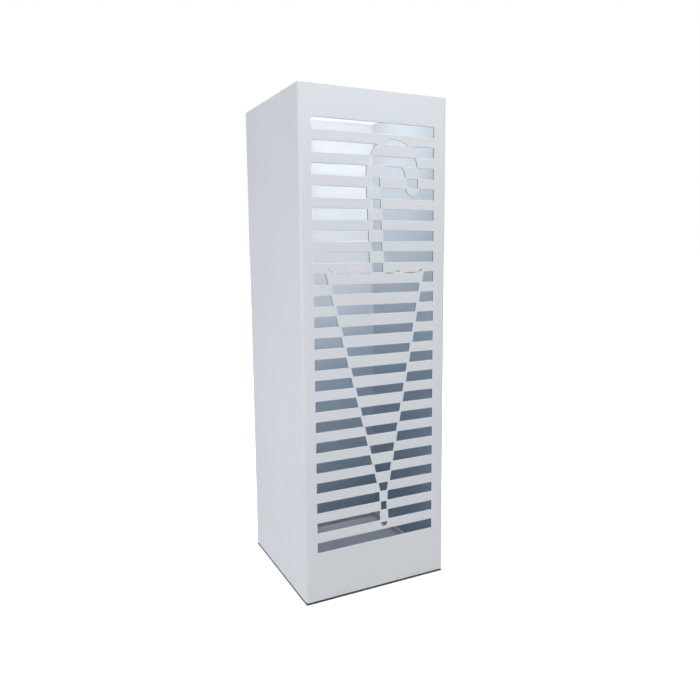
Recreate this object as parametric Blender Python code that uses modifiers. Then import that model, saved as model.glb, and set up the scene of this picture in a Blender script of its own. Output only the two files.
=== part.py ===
"""Umbrella stand: a square steel column with a louvred front that shows an umbrella.

The column is one folded sheet, welded shut and coated. A pan is welded inside its lower edge, a loose
drip tray lies on the pan, and four anti-slip pads carry the whole.
Metres, +Z up. The origin is on the ground, under the middle of the column, and the front faces -Y.
"""

import math

import bmesh
import bpy
from mathutils import Vector

# Column
SIDE = 0.157
SHELL_HEIGHT = 0.490
GROUND_GAP = 0.0020
SHEET = 0.0012
BEND_RADIUS = 0.003
BEND_STEPS = 5
CLEARANCE = 0.0003

# Louvre rows, measured from the left edge and from the top edge of the front wall
ROW_LEFT = 0.0125
ROW_WIDTH = 0.130
ROW_TOP = 0.0292
ROW_PITCH = 0.02007
ROW_HEIGHT = 0.0102
ROW_COUNT = 21
INNER_DROP = 0.01075
INNER_HEIGHT = 0.0088
LAST_INNER_TOP = 0.4230

# Half widths of the web of sheet left around the umbrella
WEB = 0.0009
CANOPY_WEB = 0.0017
CANOPY_FOOT_WEB = 0.0010
SCALLOP_WEB = 0.0004

# Umbrella, in the same measures: straight lines are (u at v0, v0, change of u per v)
SHAFT_AXIS = (0.0761, 0.0950, 0.040)
SHAFT_HALF = 0.0071
HOOK_CENTRE = (0.0964, 0.0781)
HOOK_RADII = (0.0281, 0.0351)
HOOK_OUTER_RADII = (0.0287, 0.0351)
HOOK_SHOULDER = 2.48
HOOK_SHOULDER_FLARE = 0.17
HOLE_CENTRE = (0.0973, 0.0797)
HOLE_RADII = (0.0134, 0.0124)
HOLE_SHOULDER = 2.9
HOLE_FOOT_V = 0.0799
HOOK_TIP = (0.1182, 0.0887)
HOOK_TIP_RADIUS = 0.0066
CANOPY_LEFT = (0.0276, 0.1755, 0.2487)
CANOPY_RIGHT = (0.1291, 0.1755, -0.1836)
CANOPY_DROP = 0.215
LEFT_TIP_V = 0.1636
RIGHT_TIP_V = 0.1656
RIB_TIPS = ((0.0537, 0.1674), (0.0790, 0.1674), (0.1017, 0.1668))
SCALLOP_FLOOR = 0.1718
SCALLOP_STEPS = 7
FERRULE_AXIS = (0.0852, 0.3950, 0.030)
FERRULE_HALF = 0.0038
FERRULE_END = 0.4242
FERRULE_CAP_HALF = 0.0042
ARC_STEPS = 14
TIP_STEPS = 10

# Cutters reach this far past both faces of the front wall
ROW_REACH = 0.006
OUTLINE_REACH = 0.012

# Floor pan and drip tray: inner half widths, heights above the ground, fillets
PAN_CORNER = 0.0025
PAN_FLANGE = 0.006
PAN_FILLET = 0.0008
TRAY_WALL = 0.001
TRAY_HALF = 0.0743
TRAY_CORNER = 0.004
TRAY_FILLET = 0.001
TRAY_RIM_TOP = 0.0118
TRAY_RIM_HALF = 0.0768
CORNER_STEPS = 4
FILLET_STEPS = 2

# Anti-slip pads
PAD_RADIUS = 0.010
PAD_SIDES = 32
PAD_INSET = 0.060

HALF = SIDE / 2
SHELL_TOP = GROUND_GAP + SHELL_HEIGHT
FRONT_Y = -HALF

COATED_WHITE = (0.80, 0.81, 0.84, 1.0)
TRAY_WHITE = (0.74, 0.75, 0.79, 1.0)
PAD_BLACK = (0.03, 0.03, 0.032, 1.0)


def clear_scene():
    for obj in list(bpy.data.objects):
        bpy.data.objects.remove(obj, do_unlink=True)


def new_collection(name):
    collection = bpy.data.collections.new(name)
    bpy.context.scene.collection.children.link(collection)
    return collection


def new_material(name, colour, roughness, metallic):
    material = bpy.data.materials.new(name)
    material.use_nodes = True
    shader = material.node_tree.nodes["Principled BSDF"]
    shader.inputs["Base Color"].default_value = colour
    shader.inputs["Roughness"].default_value = roughness
    shader.inputs["Metallic"].default_value = metallic
    return material


def new_object(name, bm, collection, material=None):
    mesh = bpy.data.meshes.new(name)
    bm.to_mesh(mesh)
    bm.free()
    obj = bpy.data.objects.new(name, mesh)
    collection.objects.link(obj)
    if material:
        mesh.materials.append(material)
    return obj


def smooth_rounds(obj, angle=math.radians(30)):
    obj.data.shade_smooth()
    obj.data.set_sharp_from_angle(angle=angle)


def extruded(points, direction):
    """A closed solid: the flat outline through the points, swept along the direction."""
    bm = bmesh.new()
    face = bm.faces.new([bm.verts.new(point) for point in points])
    swept = bmesh.ops.extrude_face_region(bm, geom=[face])
    moved = [item for item in swept["geom"] if isinstance(item, bmesh.types.BMVert)]
    bmesh.ops.translate(bm, verts=moved, vec=direction)
    bmesh.ops.recalc_face_normals(bm, faces=bm.faces)
    return bm


def arc(centre, radii, start, end, steps, shoulder=2.0):
    """Points on an arc, angles in degrees: an ellipse at shoulder 2, squarer above it."""
    points = []
    for step in range(steps + 1):
        angle = math.radians(start + (end - start) * step / steps)
        across = math.copysign(abs(math.cos(angle)) ** (2 / shoulder), math.cos(angle))
        along = math.copysign(abs(math.sin(angle)) ** (2 / shoulder), math.sin(angle))
        points.append((centre[0] + radii[0] * across, centre[1] + radii[1] * along))
    return points


# --- folded column ---------------------------------------------------------------------------------

def column(inset, low_z, high_z):
    """Square prism with the bent corners of the sheet, this far inside its outer face."""
    radius = BEND_RADIUS - inset
    bend = HALF - BEND_RADIUS
    plan = []
    for corner_x, corner_y, start in ((1, 1, 0), (-1, 1, 90), (-1, -1, 180), (1, -1, 270)):
        plan += arc((corner_x * bend, corner_y * bend), (radius, radius), start, start + 90, BEND_STEPS)
    bottom = [(x, y, low_z) for x, y in plan]
    return extruded(bottom, Vector((0, 0, high_z - low_z)))


def make_shell(parts, cutters, material):
    shell = new_object("wrap_shell", column(0.0, GROUND_GAP, SHELL_TOP), parts, material)
    smooth_rounds(shell)
    hollow = column(SHEET, GROUND_GAP - ROW_REACH, SHELL_TOP + ROW_REACH)
    well = new_cutter("well", hollow, cutters)
    for cutter in (well, louvre_cutter(cutters), umbrella_cutter(cutters)):
        add_boolean(shell, cutter, "DIFFERENCE")
    return shell


# --- pattern in the front wall ---------------------------------------------------------------------

def on_front(u, v, y):
    """World point at u from the left edge and v below the top edge of the front wall."""
    return (u - HALF, y, SHELL_TOP - v)


def u_on(line, v):
    return line[0] + line[2] * (v - line[1])


def crossing(first, second):
    """v where two straight lines of the outline meet."""
    rise = second[0] - first[0] + first[2] * first[1] - second[2] * second[1]
    return rise / (first[2] - second[2])


def shifted(line, distance):
    return (line[0] + distance, line[1], line[2])


def flared(line, outward, side):
    """Side of the canopy, moved by half its web, which narrows towards the ferrule."""
    narrowing = outward * side * (CANOPY_FOOT_WEB - CANOPY_WEB) / CANOPY_DROP
    return (line[0] + outward * side * CANOPY_WEB, line[1], line[2] + narrowing)


def scallop(start, end, lift):
    """The sagging hem of the canopy between two rib tips, without its ends."""
    sag = SCALLOP_FLOOR - (start[1] + end[1]) / 2
    points = []
    for step in range(1, SCALLOP_STEPS):
        part = step / SCALLOP_STEPS
        u = start[0] + (end[0] - start[0]) * part
        v = start[1] + (end[1] - start[1]) * part + sag * 4 * part * (1 - part)
        points.append((u, v - lift))
    return points


def hook_outline(side):
    """From the left of the hook over its top, round its tip, and back along its inner side."""
    web = side * WEB
    shoulder = HOOK_SHOULDER + side * HOOK_SHOULDER_FLARE
    near_side = arc(HOOK_CENTRE, (HOOK_RADII[0] + web, HOOK_RADII[1] + web), 180, 270, ARC_STEPS)
    far_radii = (HOOK_OUTER_RADII[0] + web, HOOK_OUTER_RADII[1] + web)
    far_side = arc(HOOK_CENTRE, far_radii, 270, 360, ARC_STEPS, shoulder)
    tip = arc(HOOK_TIP, (HOOK_TIP_RADIUS + web, HOOK_TIP_RADIUS + web), 0, 180, TIP_STEPS)
    hole_radii = (HOLE_RADII[0] - web, HOLE_RADII[1] - web)
    inner = arc(HOLE_CENTRE, hole_radii, 360, 180, 2 * ARC_STEPS, HOLE_SHOULDER)
    shaft_right = shifted(SHAFT_AXIS, SHAFT_HALF + web)
    foot = (u_on(shaft_right, HOLE_FOOT_V), HOLE_FOOT_V)
    return near_side + far_side[1:] + tip + inner + [foot]


def canopy_half(tip, rib, shaft_side, inward, lift):
    """Hem of the canopy from its outer tip to the side of the shaft."""
    middle = RIB_TIPS[1]
    hem = [(tip[0], tip[1] - lift)]
    hem += scallop(tip, rib, lift)
    hem.append((rib[0], rib[1] - lift))
    for u, v in scallop(rib, middle, lift):
        if (u_on(shaft_side, v) - u) * inward > SCALLOP_WEB:
            hem.append((u, v))
    last_v = hem[-1][1]
    hem.append((u_on(shaft_side, last_v), last_v))
    return hem


def umbrella_outline(side):
    """Closed outline of the umbrella, outside its web of sheet for +1 and inside it for -1."""
    web = side * WEB
    lift = side * SCALLOP_WEB
    left = flared(CANOPY_LEFT, -1, side)
    right = flared(CANOPY_RIGHT, 1, side)
    shaft_left = shifted(SHAFT_AXIS, -SHAFT_HALF - web)
    shaft_right = shifted(SHAFT_AXIS, SHAFT_HALF + web)
    ferrule_left = shifted(FERRULE_AXIS, -FERRULE_HALF - web)
    ferrule_right = shifted(FERRULE_AXIS, FERRULE_HALF + web)
    left_tip = (u_on(left, LEFT_TIP_V), LEFT_TIP_V)
    right_tip = (u_on(right, RIGHT_TIP_V), RIGHT_TIP_V)
    right_foot = crossing(right, ferrule_right)
    left_foot = crossing(left, ferrule_left)
    end_centre = (u_on(FERRULE_AXIS, FERRULE_END), FERRULE_END)

    outline = hook_outline(side)
    outline += canopy_half(right_tip, RIB_TIPS[2], shaft_right, -1, lift)[::-1]
    outline.append((u_on(right, right_foot), right_foot))
    outline += arc(end_centre, (FERRULE_CAP_HALF + web, FERRULE_CAP_HALF + web), 0, 180, TIP_STEPS)
    outline.append((u_on(left, left_foot), left_foot))
    outline += canopy_half(left_tip, RIB_TIPS[0], shaft_left, 1, lift)
    return outline


def umbrella_prism(name, side, cutters):
    start_y = FRONT_Y - OUTLINE_REACH
    points = [on_front(u, v, start_y) for u, v in umbrella_outline(side)]
    depth = SHEET + 2 * OUTLINE_REACH
    return new_cutter(name, extruded(points, Vector((0, depth, 0))), cutters)


def row_boxes(name, tops, height, cutters):
    """One box for each row of slots, through the front wall."""
    bm = bmesh.new()
    size = Vector((ROW_WIDTH, SHEET + 2 * ROW_REACH, height))
    for top in tops:
        box = bmesh.ops.create_cube(bm, size=1.0)["verts"]
        bmesh.ops.scale(bm, verts=box, vec=size)
        centre = on_front(ROW_LEFT + ROW_WIDTH / 2, top + height / 2, FRONT_Y + SHEET / 2)
        bmesh.ops.translate(bm, verts=box, vec=centre)
    return new_cutter(name, bm, cutters)


def new_cutter(name, bm, cutters):
    cutter = new_object(name, bm, cutters)
    cutter.hide_render = True
    cutter.display_type = "WIRE"
    return cutter


def add_boolean(obj, cutter, operation):
    modifier = obj.modifiers.new(cutter.name, "BOOLEAN")
    modifier.operation = operation
    modifier.object = cutter


def louvre_cutter(cutters):
    """Slots around the umbrella."""
    tops = [ROW_TOP + ROW_PITCH * row for row in range(ROW_COUNT)]
    rows = row_boxes("louvre_rows", tops, ROW_HEIGHT, cutters)
    add_boolean(rows, umbrella_prism("umbrella_outside", 1, cutters), "DIFFERENCE")
    return rows


def umbrella_cutter(cutters):
    """Slots inside the umbrella, half a pitch lower, with a short one in the ferrule's end."""
    tops = [ROW_TOP + INNER_DROP + ROW_PITCH * row for row in range(ROW_COUNT - 2)]
    tops.append(LAST_INNER_TOP)
    rows = row_boxes("umbrella_rows", tops, INNER_HEIGHT, cutters)
    add_boolean(rows, umbrella_prism("umbrella_inside", -1, cutters), "INTERSECT")
    return rows


# --- floor pan, drip tray and pads -----------------------------------------------------------------

def square_ring(bm, half, corner, z):
    """Edges of a square with rounded corners, centred on the column's axis."""
    straight = half - corner
    points = []
    for corner_x, corner_y, start in ((1, 1, 0), (-1, 1, 90), (-1, -1, 180), (1, -1, 270)):
        centre = (corner_x * straight, corner_y * straight)
        points += arc(centre, (corner, corner), start, start + 90, CORNER_STEPS)
    verts = [bm.verts.new((x, y, z)) for x, y in points]
    return [bm.edges.new((verts[i - 1], verts[i])) for i in range(len(verts))]


def pan_surface(half, corner, floor_z, fillet, upper):
    """Open pan: a flat floor, a filleted foot, then the rings given as (half width, height)."""
    bm = bmesh.new()
    profile = [(half - fillet + math.sin(a) * fillet, floor_z + fillet - math.cos(a) * fillet)
               for a in (math.radians(90) * step / FILLET_STEPS for step in range(FILLET_STEPS + 1))]
    profile += upper
    rings = [square_ring(bm, ring_half, corner + ring_half - half, z) for ring_half, z in profile]
    floor = bmesh.ops.contextual_create(bm, geom=rings[0])["faces"][0]
    for lower_ring, upper_ring in zip(rings, rings[1:]):
        bmesh.ops.bridge_loops(bm, edges=lower_ring + upper_ring)
    bmesh.ops.recalc_face_normals(bm, faces=bm.faces)
    if floor.normal.z < 0:
        bmesh.ops.reverse_faces(bm, faces=bm.faces)
    return bm


def thicken(obj, thickness):
    """Gives the surface its thickness on the side away from its normals."""
    modifier = obj.modifiers.new("sheet", "SOLIDIFY")
    modifier.thickness = thickness
    modifier.offset = -1.0
    modifier.use_even_offset = True


def make_base_plate(parts, material):
    half = HALF - SHEET - CLEARANCE - SHEET
    floor_z = GROUND_GAP + SHEET
    surface = pan_surface(half, PAN_CORNER - SHEET, floor_z, PAN_FILLET, [(half, floor_z + PAN_FLANGE)])
    plate = new_object("base_plate", surface, parts, material)
    smooth_rounds(plate)
    thicken(plate, SHEET)


def make_drip_tray(parts, material):
    floor_z = GROUND_GAP + SHEET + CLEARANCE + TRAY_WALL
    upper = [(TRAY_HALF, TRAY_RIM_TOP), (TRAY_RIM_HALF, TRAY_RIM_TOP)]
    surface = pan_surface(TRAY_HALF, TRAY_CORNER, floor_z, TRAY_FILLET, upper)
    tray = new_object("drip_tray", surface, parts, material)
    smooth_rounds(tray)
    thicken(tray, TRAY_WALL)


def make_pads(parts, material):
    height = GROUND_GAP - CLEARANCE
    for row_name, y in (("front", -PAD_INSET), ("rear", PAD_INSET)):
        for side_name, x in (("left", -PAD_INSET), ("right", PAD_INSET)):
            bm = bmesh.new()
            bmesh.ops.create_cone(bm, cap_ends=True, segments=PAD_SIDES, radius1=PAD_RADIUS,
                                  radius2=PAD_RADIUS, depth=height)
            pad = new_object(f"foot_pad_{row_name}_{side_name}", bm, parts, material)
            pad.location = (x, y, height / 2)
            smooth_rounds(pad)


def main():
    clear_scene()
    parts = new_collection("umbrella_stand")
    cutters = new_collection("cutters")
    coated = new_material("white_powder_coat", COATED_WHITE, 0.45, 0.0)
    tray = new_material("tray_white", TRAY_WHITE, 0.4, 0.0)
    rubber = new_material("black_foam", PAD_BLACK, 0.9, 0.0)
    make_shell(parts, cutters, coated)
    make_base_plate(parts, coated)
    make_drip_tray(parts, tray)
    make_pads(parts, rubber)


main()
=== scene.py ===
"""Looks of the umbrella stand: powder-coated folded sheet, moulded drip tray, foam pads, studio and camera.

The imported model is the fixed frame: +Z up, the louvred front faces -Y, everything in metres.
"""

import math

import bmesh
import bpy
from mathutils import Matrix, Vector


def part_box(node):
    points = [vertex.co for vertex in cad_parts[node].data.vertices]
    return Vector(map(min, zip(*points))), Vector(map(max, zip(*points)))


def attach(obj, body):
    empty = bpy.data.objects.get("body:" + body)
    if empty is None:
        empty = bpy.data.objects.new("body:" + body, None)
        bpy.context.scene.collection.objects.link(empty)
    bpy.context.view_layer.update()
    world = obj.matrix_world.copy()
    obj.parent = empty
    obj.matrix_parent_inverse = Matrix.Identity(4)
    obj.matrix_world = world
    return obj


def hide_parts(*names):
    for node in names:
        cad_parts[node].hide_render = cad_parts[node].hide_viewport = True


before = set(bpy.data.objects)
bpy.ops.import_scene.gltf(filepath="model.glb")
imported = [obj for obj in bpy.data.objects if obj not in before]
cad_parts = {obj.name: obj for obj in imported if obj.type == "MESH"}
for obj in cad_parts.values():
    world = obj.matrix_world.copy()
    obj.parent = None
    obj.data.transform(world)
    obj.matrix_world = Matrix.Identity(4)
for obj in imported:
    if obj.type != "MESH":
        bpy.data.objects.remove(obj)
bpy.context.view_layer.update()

# Sheet of the column
BEND_RADIUS = 0.003
SHEET = 0.0012
BEND_STEPS = 10
LIP = 0.00035
BACK_LIP = 0.0002
SMALL_OPENING = 0.006
SMALL_LIP = 0.0002
LIP_STEPS = 4
CORNER_ROUND = 0.0004
CORNER_STEPS = 3
CORNER_TURN = math.radians(30)

# Drip tray
TRAY_WALL = 0.001
TRAY_RIM = 0.0025
TRAY_CORNER = 0.004
TRAY_FILLET = 0.001
TRAY_LIP = 0.0004

# Foot pads
PAD_SIDES = 48
PAD_ROUND = 0.0004

# Powder coat
COAT_LOW = (0.572, 0.602, 0.650, 1)
COAT_HIGH = (0.592, 0.622, 0.668, 1)
COAT_HALF = 0.0785
SCUFF_HEIGHT = 0.012
SCUFF = (0.42, 0.42, 0.42, 1)
SPECK_CELLS = 38.0
SPECK_RARITY = 0.93
SPECK_RADII = (0.008, 0.020)
SPECK_STRENGTH = 0.55
SPECK = (0.12, 0.12, 0.12, 1)

# Shade painted into the coat to match the photo, and not known of the real coat: the walls deep inside,
# and the slots' cut edges that face down or left, away from the bends and the lower rim
INNER_SHADE = (0.378, 0.452, 0.548, 1)
INNER_SHADE_FROM_TO = (0.33, 0.20)
INNER_SHADE_HALF = 0.0778
CUT_SHADE = (0.08, 0.085, 0.10, 1)
CUT_SHADE_FACING = (-0.25, -0.6)
CUT_HALF = 0.068
CUT_LOW = 0.02

# Moulded plastic and foam; the plastic's colour is darker and bluer than white, as painted shade for the bottom
# of the column
PLASTIC_LOW = (0.44, 0.46, 0.52, 1)
PLASTIC_HIGH = (0.48, 0.495, 0.55, 1)
FOAM_LOW = (0.022, 0.022, 0.024, 1)
FOAM_HIGH = (0.045, 0.045, 0.047, 1)

# Light from all round, by direction: colours, and the sines of elevation between which they change
SKY_TOP = (0.94, 1.0, 1.08)
SKY_AROUND = (0.68, 0.69, 0.70)
SKY_LEFT_LOW = (0.55, 0.55, 0.54)
SKY_LEFT_HIGH = (1.08, 1.00, 1.00)
SKY_FRONT_LOW = (1.10, 1.01, 0.96)
DARK = (0.0, 0.0, 0.0)
WHITE = (1.0, 1.0, 1.0, 1.0)
TOP_FROM_TO = (0.84, 0.90)
LEFT_FROM_TO = (0.20, 0.32)
FRONT_FROM_TO = (-0.08, -0.02)

# Floor, its own sun, and the unseen card that stands out a little past the column
FLOOR_HALF = 30.0
FLOOR_WASH = 3.0
FLOOR_WASH_SPREAD = 60
CARD_MARGIN = 0.0004
CARD_HEIGHT = 0.0010
CARD_BLACK = (0.01, 0.01, 0.01, 1)

# Softboxes: name, place, target, size, power, colour, spread in degrees
SOFTBOXES = (
    ("overhead_front", (0.0, -0.33, 1.10), (0.0, -0.08, 0.40), (0.3, 0.2), 6.0, (0.97, 0.98, 1.0), 180),
    ("overhead_far", (0.0, -0.45, 1.60), (0.0, 0.0, 0.40), (0.5, 0.4), 1.3, (0.95, 0.98, 1.0), 180),
    ("low_front", (0.10, -0.90, 0.05), (0.0, 0.0, 0.20), (0.5, 0.3), 1.4, (0.90, 1.0, 1.0), 180),
    ("low_left", (-0.90, -0.20, 0.10), (0.0, 0.0, 0.12), (0.5, 0.3), 3.1, (0.92, 0.98, 1.0), 180),
    ("into_the_top", (0.0, -0.055, 0.75), (0.02, 0.077, 0.42), (0.12, 0.03), 0.017, (1.0, 0.92, 0.82), 30),
    ("into_the_middle", (0.0, -0.065, 0.66), (0.02, 0.077, 0.34), (0.12, 0.02), 0.028, (1.0, 0.96, 0.91), 40),
    ("into_the_right", (-0.06, 0.0, 0.70), (0.077, 0.0, 0.40), (0.03, 0.12), 0.072, (0.88, 1.0, 1.0), 50),
)

# Camera: place, heading and the share of the frame that it is shifted by
CAMERA_PLACE = (-0.29819, -0.63888, 0.34557)
CAMERA_YAW = 26.8905
CAMERA_PITCH = -7.6176
CAMERA_ROLL = -0.3483
CAMERA_LENS = 33.705
CAMERA_SENSOR = 36.0
CAMERA_SHIFT = (-0.0205, -0.0198)


# --- meshes ----------------------------------------------------------------------------------------

def finish_mesh(name, bm, material, body, replaced):
    """Turns the mesh into a visible piece that stands for one CAD node."""
    bmesh.ops.remove_doubles(bm, verts=bm.verts, dist=1e-7)
    bmesh.ops.recalc_face_normals(bm, faces=bm.faces)
    mesh = bpy.data.meshes.new(name)
    bm.to_mesh(mesh)
    bm.free()
    mesh.materials.append(material)
    mesh.shade_smooth()
    piece = bpy.data.objects.new(name, mesh)
    bpy.context.scene.collection.objects.link(piece)
    normals = piece.modifiers.new("face_weighted", "WEIGHTED_NORMAL")
    normals.weight = 100
    normals.keep_sharp = True
    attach(piece, body)
    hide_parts(replaced)
    return piece


def quarter(steps):
    """Pairs (sine, cosine) from 0 to 90 degrees."""
    return [(math.sin(math.pi / 2 * i / steps), math.cos(math.pi / 2 * i / steps)) for i in range(steps + 1)]


def rounded_square(half, corner, steps):
    """Plan points of a square with rounded corners, four arcs of steps + 1 points each."""
    points = []
    for sign_x, sign_y, start in ((1, 1, 0), (-1, 1, 90), (-1, -1, 180), (1, -1, 270)):
        for i in range(steps + 1):
            angle = math.radians(start + 90 * i / steps)
            points.append((sign_x * (half - corner) + corner * math.cos(angle),
                           sign_y * (half - corner) + corner * math.sin(angle)))
    return points


def rings_of(bm, profile, corner, steps, half):
    """Rings of vertices at each (inset, height) of the profile, around the column's axis."""
    rings = []
    for inset, height in profile:
        plan = rounded_square(half - inset, corner - inset, steps)
        rings.append([bm.verts.new((x, y, height)) for x, y in plan])
    return rings


def bridge(bm, first, second, skip=()):
    """Quads between two closed rings, apart from the sides listed in skip."""
    count = len(first)
    for i in range(count):
        if i not in skip:
            j = (i + 1) % count
            bm.faces.new((first[i], first[j], second[j], second[i]))


def front_openings(node):
    """Outlines of the slots in the front wall, as lists of (x, z)."""
    bm = bmesh.new()
    bm.from_mesh(node.data)
    bmesh.ops.remove_doubles(bm, verts=bm.verts, dist=1e-6)
    face_y = min(v.co.y for v in bm.verts)
    front = {f for f in bm.faces if all(abs(v.co.y - face_y) < 1e-5 for v in f.verts)}
    # A dict keeps the mesh's own order, so that every run traces the outlines alike
    rim = dict.fromkeys(e for e in bm.edges if sum(f in front for f in e.link_faces) == 1)
    loops = []
    while rim:
        edge = next(iter(rim))
        del rim[edge]
        first, current = edge.verts
        loop = [first, current]
        while current is not first:
            edge = next(e for e in current.link_edges if e in rim)
            del rim[edge]
            current = edge.other_vert(current)
            if current is not first:
                loop.append(current)
        loops.append([(v.co.x, v.co.z) for v in loop])
    bm.free()
    outer = max(loops, key=lambda points: max(z for x, z in points) - min(z for x, z in points))
    loops.remove(outer)
    return loops


def area(points):
    return sum(x0 * z1 - x1 * z0 for (x0, z0), (x1, z1) in zip(points, points[1:] + points[:1])) / 2


def softened(points):
    """The outline counter-clockwise, without needless points and with its corners rounded."""
    if area(points) < 0:
        points = points[::-1]
    flat = []
    count = len(points)
    for i in range(count):
        a, b, c = (Vector(points[k % count]) for k in (i - 1, i, i + 1))
        if (b - a).length > 1e-6 and abs((b - a).angle_signed(c - b, 0.0)) > math.radians(0.3):
            flat.append(b)
    result = []
    count = len(flat)
    for i in range(count):
        a, b, c = flat[i - 1], flat[i], flat[(i + 1) % count]
        before, after = b - a, c - b
        turn = abs(before.angle(after, 0.0))
        if turn < CORNER_TURN:
            result.append(b)
            continue
        cut = min(CORNER_ROUND * math.tan(turn / 2), 0.4 * before.length, 0.4 * after.length)
        start = b - before.normalized() * cut
        end = b + after.normalized() * cut
        for step in range(CORNER_STEPS + 1):
            t = step / CORNER_STEPS
            result.append(start * (1 - t) ** 2 + b * 2 * t * (1 - t) + end * t ** 2)
    return result


def widened(points, distance):
    """The counter-clockwise outline, moved outwards by the distance."""
    moved = []
    count = len(points)
    for i in range(count):
        before = (points[i] - points[i - 1]).normalized()
        after = (points[(i + 1) % count] - points[i]).normalized()
        normal = Vector((before.y + after.y, -before.x - after.x)).normalized()
        reach = distance / max(0.6, normal.dot(Vector((before.y, -before.x))))
        moved.append(points[i] + normal * reach)
    return moved


def slotted_face(bm, corners, rings):
    """Flat sheet between its four corner vertices and the rings of its openings."""
    edges = [bm.edges.new((a, b)) if bm.edges.get((a, b)) is None else bm.edges.get((a, b))
             for a, b in zip(corners, corners[1:] + corners[:1])]
    for ring in rings:
        edges += [bm.edges.get((a, b)) for a, b in zip(ring, ring[1:] + ring[:1])]
    bmesh.ops.triangle_fill(bm, use_beauty=True, use_dissolve=False, edges=edges)


def make_shell(material):
    """The column with rounded edges round the slots and along the rims, from the CAD node's own outline."""
    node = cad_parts["wrap_shell"]
    low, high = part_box("wrap_shell")
    half = high[0]
    bm = bmesh.new()
    arc = quarter(LIP_STEPS)
    profile = [(LIP * (1 - c), high[2] - LIP * (1 - s)) for s, c in arc]
    profile += [(SHEET - LIP * (1 - s), high[2] - LIP * (1 - c)) for s, c in arc]
    profile += [(SHEET - LIP * (1 - c), low[2] + LIP * (1 - s)) for s, c in arc]
    profile += [(LIP * (1 - s), low[2] + LIP * (1 - c)) for s, c in arc]
    rings = rings_of(bm, profile, BEND_RADIUS, BEND_STEPS, half)
    per_arc = LIP_STEPS + 1
    front_side = 3 * (BEND_STEPS + 1) - 1
    inner_top, inner_low = rings[2 * per_arc - 1], rings[2 * per_arc]
    outer_top, outer_low = rings[0], rings[-1]
    for first, second in zip(rings, rings[1:] + rings[:1]):
        open_side = first is inner_top or first is outer_low
        bridge(bm, first, second, skip=(front_side,) if open_side else ())

    outlines = [softened(points) for points in front_openings(node)]
    front_y = low[1]
    fronts, backs = [], []
    for outline in outlines:
        tall = max(p.y for p in outline) - min(p.y for p in outline)
        lip = SMALL_LIP if tall < SMALL_OPENING else LIP
        depths = [(lip * (1 - s), lip * (1 - c)) for s, c in arc]
        depths += [(BACK_LIP * (1 - c), SHEET - BACK_LIP * (1 - s)) for s, c in arc]
        walls = []
        for offset, depth in depths:
            walls.append([bm.verts.new((p.x, front_y + depth, p.y)) for p in widened(outline, offset)])
        for first, second in zip(walls, walls[1:]):
            bridge(bm, first, second)
        fronts.append(walls[0])
        backs.append(walls[-1])
    left, right = front_side, front_side + 1
    slotted_face(bm, [outer_top[left], outer_top[right], outer_low[right], outer_low[left]], fronts)
    slotted_face(bm, [inner_top[left], inner_top[right], inner_low[right], inner_low[left]], backs)
    return finish_mesh("coated_column", bm, material, "stand", "wrap_shell")


def make_tray(material):
    """Drip tray with filleted foot and a rolled rim."""
    low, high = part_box("drip_tray")
    rim_half = high[0]
    wall = rim_half - TRAY_RIM
    arc = quarter(LIP_STEPS)
    outer_foot = TRAY_FILLET + TRAY_WALL
    inner_floor = low[2] + TRAY_WALL
    rim_top, rim_low = high[2], high[2] - TRAY_WALL
    under = wall + TRAY_WALL
    profile = [(wall - TRAY_FILLET * (1 - s), inner_floor + TRAY_FILLET * (1 - c)) for s, c in arc]
    profile += [(wall + TRAY_LIP * (1 - c), rim_top - TRAY_LIP * (1 - s)) for s, c in arc]
    profile += [(rim_half - TRAY_LIP * (1 - s), rim_top - TRAY_LIP * (1 - c)) for s, c in arc]
    profile += [(rim_half - TRAY_LIP * (1 - c), rim_low + TRAY_LIP * (1 - s)) for s, c in arc]
    profile += [(under + TRAY_LIP * (1 - s), rim_low - TRAY_LIP * (1 - c)) for s, c in arc]
    profile += [(under - outer_foot * (1 - c), low[2] + outer_foot * (1 - s)) for s, c in arc]
    bm = bmesh.new()
    insets = [(rim_half - half, height) for half, height in profile]
    rings = rings_of(bm, insets, TRAY_CORNER + TRAY_RIM, BEND_STEPS, rim_half)
    for first, second in zip(rings, rings[1:]):
        bridge(bm, first, second)
    bm.faces.new(rings[0])
    bm.faces.new(rings[-1])
    return finish_mesh("moulded_tray", bm, material, "tray", "drip_tray")


def make_pad(node_name, material):
    """Foam disc with a softly rounded edge."""
    low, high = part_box(node_name)
    centre = [(low[k] + high[k]) / 2 for k in range(2)]
    radius = (high[0] - low[0]) / 2
    profile = [(radius - PAD_ROUND * (1 - s), high[2] - PAD_ROUND * (1 - c)) for s, c in quarter(LIP_STEPS)]
    profile += [(radius - PAD_ROUND * (1 - c), low[2] + PAD_ROUND * (1 - s)) for s, c in quarter(LIP_STEPS)]
    bm = bmesh.new()
    rings = []
    for ring_radius, height in profile:
        angles = [2 * math.pi * i / PAD_SIDES for i in range(PAD_SIDES)]
        plan = [(centre[0] + ring_radius * math.cos(a), centre[1] + ring_radius * math.sin(a)) for a in angles]
        rings.append([bm.verts.new((x, y, height)) for x, y in plan])
    for first, second in zip(rings, rings[1:]):
        bridge(bm, first, second)
    bm.faces.new(rings[0])
    bm.faces.new(rings[-1])
    return finish_mesh(node_name.replace("foot_pad", "foam_pad"), bm, material, "stand", node_name)


# --- materials -------------------------------------------------------------------------------------

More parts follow.
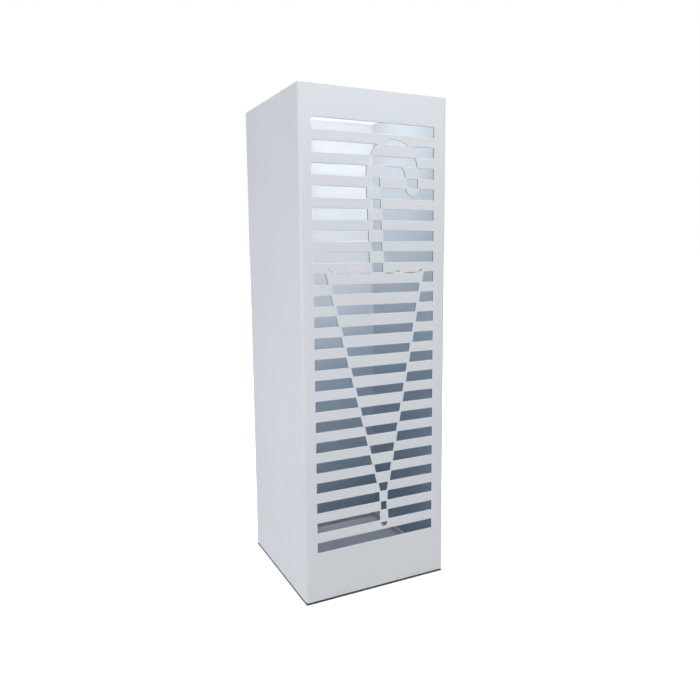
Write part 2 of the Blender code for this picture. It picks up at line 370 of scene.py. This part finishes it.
class Nodes:
    """Short ways to add and link shader nodes of one material."""

    def __init__(self, name):
        self.material = bpy.data.materials.new(name)
        self.material.use_nodes = True
        self.tree = self.material.node_tree
        self.shader = self.tree.nodes["Principled BSDF"]
        source = self.add("ShaderNodeTexCoord")
        self.place = source.outputs["Object"]
        self.normal = source.outputs["Normal"]

    def add(self, kind, **values):
        node = self.tree.nodes.new(kind)
        for key, value in values.items():
            setattr(node, key, value)
        return node

    def link(self, source, target):
        self.tree.links.new(source, target)

    def noise(self, scale, detail=2.0, roughness=0.5):
        node = self.add("ShaderNodeTexNoise")
        node.inputs["Scale"].default_value = scale
        node.inputs["Detail"].default_value = detail
        node.inputs["Roughness"].default_value = roughness
        self.link(self.place, node.inputs["Vector"])
        return node.outputs["Fac"]

    def ranged(self, source, low, high, to_low, to_high):
        node = self.add("ShaderNodeMapRange")
        for key, value in (("From Min", low), ("From Max", high), ("To Min", to_low), ("To Max", to_high)):
            node.inputs[key].default_value = value
        self.link(source, node.inputs["Value"])
        return node.outputs["Result"]

    def math(self, operation, *values):
        node = self.add("ShaderNodeMath", operation=operation)
        for socket, value in zip(node.inputs, values):
            if isinstance(value, (int, float)):
                socket.default_value = value
            else:
                self.link(value, socket)
        return node.outputs["Value"]

    def mix(self, factor, first, second):
        """Colour mix: each of first and second is a colour or a socket."""
        node = self.add("ShaderNodeMix", data_type="RGBA")
        self.link(factor, node.inputs["Factor"])
        sockets = [s for s in node.inputs if s.type == "RGBA"]
        for socket, value in zip(sockets, (first, second)):
            if isinstance(value, tuple):
                socket.default_value = value
            else:
                self.link(value, socket)
        return next(s for s in node.outputs if s.type == "RGBA")

    def bump(self, height, strength, distance, normal=None):
        node = self.add("ShaderNodeBump")
        node.inputs["Strength"].default_value = strength
        node.inputs["Distance"].default_value = distance
        self.link(height, node.inputs["Height"])
        if normal is not None:
            self.link(normal, node.inputs["Normal"])
        return node.outputs["Normal"]


def powder_coat():
    """Satin powder coat: orange peel, tone and gloss changes, specks, scuffs, and two zones of painted shade."""
    n = Nodes("powder_coat")
    tone = n.mix(n.ranged(n.noise(9.0, 3.0), 0.3, 0.7, 0.0, 1.0), COAT_LOW, COAT_HIGH)
    place = n.add("ShaderNodeSeparateXYZ")
    n.link(n.place, place.inputs["Vector"])
    across = n.math("MAXIMUM", *(n.math("ABSOLUTE", place.outputs[axis]) for axis in "XY"))
    inside = n.math("LESS_THAN", across, INNER_SHADE_HALF)
    depth = n.ranged(place.outputs["Z"], *INNER_SHADE_FROM_TO, 0.0, 1.0)
    tone = n.mix(n.math("MULTIPLY", inside, depth), tone, INNER_SHADE)
    facing = n.add("ShaderNodeSeparateXYZ")
    n.link(n.normal, facing.inputs["Vector"])
    in_sheet = n.math("COMPARE", place.outputs["Y"], SHEET / 2 - COAT_HALF, SHEET / 2 - BACK_LIP / 2)
    in_front = n.math("LESS_THAN", n.math("ABSOLUTE", place.outputs["X"]), CUT_HALF)
    above_rim = n.math("GREATER_THAN", place.outputs["Z"], CUT_LOW)
    down_or_left = n.math("MINIMUM", facing.outputs["X"], facing.outputs["Z"])
    turned_away = n.ranged(down_or_left, *CUT_SHADE_FACING, 0.0, 1.0)
    cut = n.math("MULTIPLY", n.math("MULTIPLY", in_sheet, in_front), n.math("MULTIPLY", above_rim, turned_away))
    tone = n.mix(cut, tone, CUT_SHADE)
    low_edge = n.ranged(place.outputs["Z"], 0.0, SCUFF_HEIGHT, 1.0, 0.0)
    scuffs = n.math("MULTIPLY", low_edge, n.ranged(n.noise(160.0, 5.0, 0.7), 0.52, 0.66, 0.0, 0.5))
    scuffed = n.mix(scuffs, tone, SCUFF)
    cells = n.add("ShaderNodeTexVoronoi")
    cells.inputs["Scale"].default_value = SPECK_CELLS
    n.link(n.place, cells.inputs["Vector"])
    pick = n.add("ShaderNodeSeparateColor")
    n.link(cells.outputs["Color"], pick.inputs["Color"])
    rare = n.math("GREATER_THAN", pick.outputs["Red"], SPECK_RARITY)
    near = n.ranged(cells.outputs["Distance"], *SPECK_RADII, 1.0, 0.0)
    speck = n.math("MULTIPLY", n.math("MULTIPLY", rare, near), SPECK_STRENGTH)
    n.link(n.mix(speck, scuffed, SPECK), n.shader.inputs["Base Color"])
    n.link(n.ranged(n.noise(55.0, 4.0), 0.3, 0.7, 0.42, 0.52), n.shader.inputs["Roughness"])
    peel = n.bump(n.noise(1100.0, 2.0), 0.12, 0.0002)
    waves = n.bump(n.noise(14.0, 1.0), 0.15, 0.0006, peel)
    n.link(waves, n.shader.inputs["Normal"])
    n.shader.inputs["IOR"].default_value = 1.5
    return n.material


def tray_plastic():
    """White moulded plastic, coloured darker and bluer as painted shade for the bottom of the column, with a
    fine spark-eroded grain and gloss that changes from place to place.
    """
    n = Nodes("tray_plastic")
    tone = n.mix(n.ranged(n.noise(22.0, 3.0), 0.35, 0.65, 0.0, 1.0), PLASTIC_LOW, PLASTIC_HIGH)
    n.link(tone, n.shader.inputs["Base Color"])
    n.link(n.ranged(n.noise(90.0, 4.0), 0.3, 0.7, 0.32, 0.46), n.shader.inputs["Roughness"])
    n.link(n.bump(n.noise(2200.0, 2.0), 0.15, 0.0001), n.shader.inputs["Normal"])
    return n.material


def foam_rubber():
    """Black closed-cell foam."""
    n = Nodes("foam_rubber")
    tone = n.mix(n.ranged(n.noise(500.0, 4.0), 0.4, 0.6, 0.0, 1.0), FOAM_LOW, FOAM_HIGH)
    n.link(tone, n.shader.inputs["Base Color"])
    n.link(n.ranged(n.noise(200.0, 2.0), 0.3, 0.7, 0.8, 0.95), n.shader.inputs["Roughness"])
    n.link(n.bump(n.noise(1500.0, 3.0), 0.5, 0.0002), n.shader.inputs["Normal"])
    return n.material


def studio_white():
    n = Nodes("studio_white")
    n.link(n.mix(n.noise(3.0), (0.93, 0.93, 0.93, 1), (0.94, 0.94, 0.94, 1)), n.shader.inputs["Base Color"])
    n.shader.inputs["Roughness"].default_value = 0.9
    return n.material


# --- studio and camera -----------------------------------------------------------------------------

def make_floor():
    """A wide white floor that throws no light back at the object and doesn't block the light from below."""
    bm = bmesh.new()
    bmesh.ops.create_grid(bm, x_segments=1, y_segments=1, size=FLOOR_HALF)
    mesh = bpy.data.meshes.new("studio_floor")
    bm.to_mesh(mesh)
    bm.free()
    mesh.materials.append(studio_white())
    floor = bpy.data.objects.new("studio_floor", mesh)
    bpy.context.scene.collection.objects.link(floor)
    floor.visible_diffuse = False
    floor.visible_glossy = False
    floor.visible_shadow = False
    return floor


def make_shadow_card():
    """A black card, unseen itself, which keeps the light from below out of the gap under the column."""
    low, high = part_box("wrap_shell")
    reach = high[0] + CARD_MARGIN
    bm = bmesh.new()
    bmesh.ops.create_grid(bm, x_segments=1, y_segments=1, size=reach)
    bmesh.ops.translate(bm, verts=bm.verts, vec=(0.0, 0.0, CARD_HEIGHT))
    mesh = bpy.data.meshes.new("shadow_card")
    bm.to_mesh(mesh)
    bm.free()
    n = Nodes("card_black")
    n.shader.inputs["Base Color"].default_value = CARD_BLACK
    mesh.materials.append(n.material)
    card = bpy.data.objects.new("shadow_card", mesh)
    bpy.context.scene.collection.objects.link(card)
    card.visible_camera = False


def softbox(name, place, target, size, power, colour, spread):
    light = bpy.data.lights.new(name, "AREA")
    light.shape = "RECTANGLE"
    light.size, light.size_y = size
    light.energy = power
    light.color = colour
    light.spread = math.radians(spread)
    lamp = bpy.data.objects.new(name, light)
    lamp.location = place
    lamp.rotation_euler = (Vector(target) - Vector(place)).to_track_quat("-Z", "Y").to_euler()
    lamp.visible_camera = False
    bpy.context.scene.collection.objects.link(lamp)


def make_world():
    """Soft light by direction. The camera itself sees plain white in place of it."""
    world = bpy.data.worlds.new("studio")
    world.use_nodes = True
    tree = world.node_tree

    def math_node(operation, *values):
        node = tree.nodes.new("ShaderNodeMath")
        node.operation = operation
        for socket, value in zip(node.inputs, values):
            if isinstance(value, float):
                socket.default_value = value
            else:
                tree.links.new(value, socket)
        return node.outputs["Value"]

    def mix(factor, first, second):
        node = tree.nodes.new("ShaderNodeMix")
        node.data_type = "RGBA"
        tree.links.new(factor, node.inputs["Factor"])
        for socket, value in zip([s for s in node.inputs if s.type == "RGBA"], (first, second)):
            if isinstance(value, tuple):
                socket.default_value = value
            else:
                tree.links.new(value, socket)
        return next(s for s in node.outputs if s.type == "RGBA")

    place = tree.nodes.new("ShaderNodeTexCoord")
    split = tree.nodes.new("ShaderNodeSeparateXYZ")
    tree.links.new(place.outputs["Generated"], split.inputs["Vector"])
    x, y, z = (split.outputs[axis] for axis in "XYZ")

    def ramp(*stops):
        """Colour by the sine of the elevation."""
        node = tree.nodes.new("ShaderNodeValToRGB")
        tree.links.new(math_node("MULTIPLY_ADD", z, 0.5, 0.5), node.inputs["Fac"])
        elements = node.color_ramp.elements
        elements.remove(elements[1])
        for number, (sine, colour) in enumerate(stops):
            element = elements[0] if number == 0 else elements.new(sine / 2 + 0.5)
            element.position = sine / 2 + 0.5
            element.color = (*colour, 1)
        return node.outputs["Color"]

    below_top, top = TOP_FROM_TO
    around = ramp((below_top, SKY_AROUND), (top, SKY_TOP))
    left = ramp((LEFT_FROM_TO[0], SKY_LEFT_LOW), (LEFT_FROM_TO[1], SKY_LEFT_HIGH),
                (below_top, SKY_LEFT_HIGH), (top, SKY_TOP))
    front = ramp((FRONT_FROM_TO[0], SKY_FRONT_LOW), (FRONT_FROM_TO[1], DARK), (below_top, DARK), (top, SKY_TOP))
    is_left = math_node("LESS_THAN", x, math_node("MULTIPLY", math_node("ABSOLUTE", y), -1.0))
    is_front = math_node("LESS_THAN", y, math_node("MULTIPLY", math_node("ABSOLUTE", x), -1.0))
    light = mix(is_front, mix(is_left, around, left), front)
    ray = tree.nodes.new("ShaderNodeLightPath")
    seen = mix(ray.outputs["Is Camera Ray"], light, WHITE)
    tree.links.new(seen, tree.nodes["Background"].inputs["Color"])
    bpy.context.scene.world = world


def make_studio(floor):
    make_world()
    make_shadow_card()
    for name, place, target, size, power, colour, spread in SOFTBOXES:
        softbox(name, place, target, size, power, colour, spread)
    lit = bpy.data.collections.new("floor_only")
    lit.objects.link(floor)
    sun = bpy.data.lights.new("floor_wash", "SUN")
    sun.energy = FLOOR_WASH
    sun.angle = math.radians(FLOOR_WASH_SPREAD)
    lamp = bpy.data.objects.new("floor_wash", sun)
    bpy.context.scene.collection.objects.link(lamp)
    lamp.light_linking.receiver_collection = lit


def make_camera():
    yaw, pitch, roll = (math.radians(a) for a in (CAMERA_YAW, CAMERA_PITCH, CAMERA_ROLL))
    forward = Vector((math.sin(yaw) * math.cos(pitch), math.cos(yaw) * math.cos(pitch), math.sin(pitch)))
    right = Vector((math.cos(yaw), -math.sin(yaw), 0.0))
    up = right.cross(forward)
    across = right * math.cos(roll) + up * math.sin(roll)
    upright = up * math.cos(roll) - right * math.sin(roll)
    data = bpy.data.cameras.new("camera")
    data.lens = CAMERA_LENS
    data.sensor_width = CAMERA_SENSOR
    data.shift_x, data.shift_y = CAMERA_SHIFT
    data.clip_start = 0.01
    camera = bpy.data.objects.new("camera", data)
    turn = Matrix((across, upright, -forward)).transposed()
    camera.matrix_world = Matrix.Translation(CAMERA_PLACE) @ turn.to_4x4()
    bpy.context.scene.collection.objects.link(camera)
    bpy.context.scene.camera = camera


def main():
    coat = powder_coat()
    foam = foam_rubber()
    make_shell(coat)
    make_tray(tray_plastic())
    for name in list(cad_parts):
        if name.startswith("foot_pad"):
            make_pad(name, foam)
    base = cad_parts["base_plate"]
    base.data.materials.clear()
    base.data.materials.append(coat)
    make_studio(make_floor())
    make_camera()
    bpy.context.scene.view_settings.view_transform = "Standard"


main()
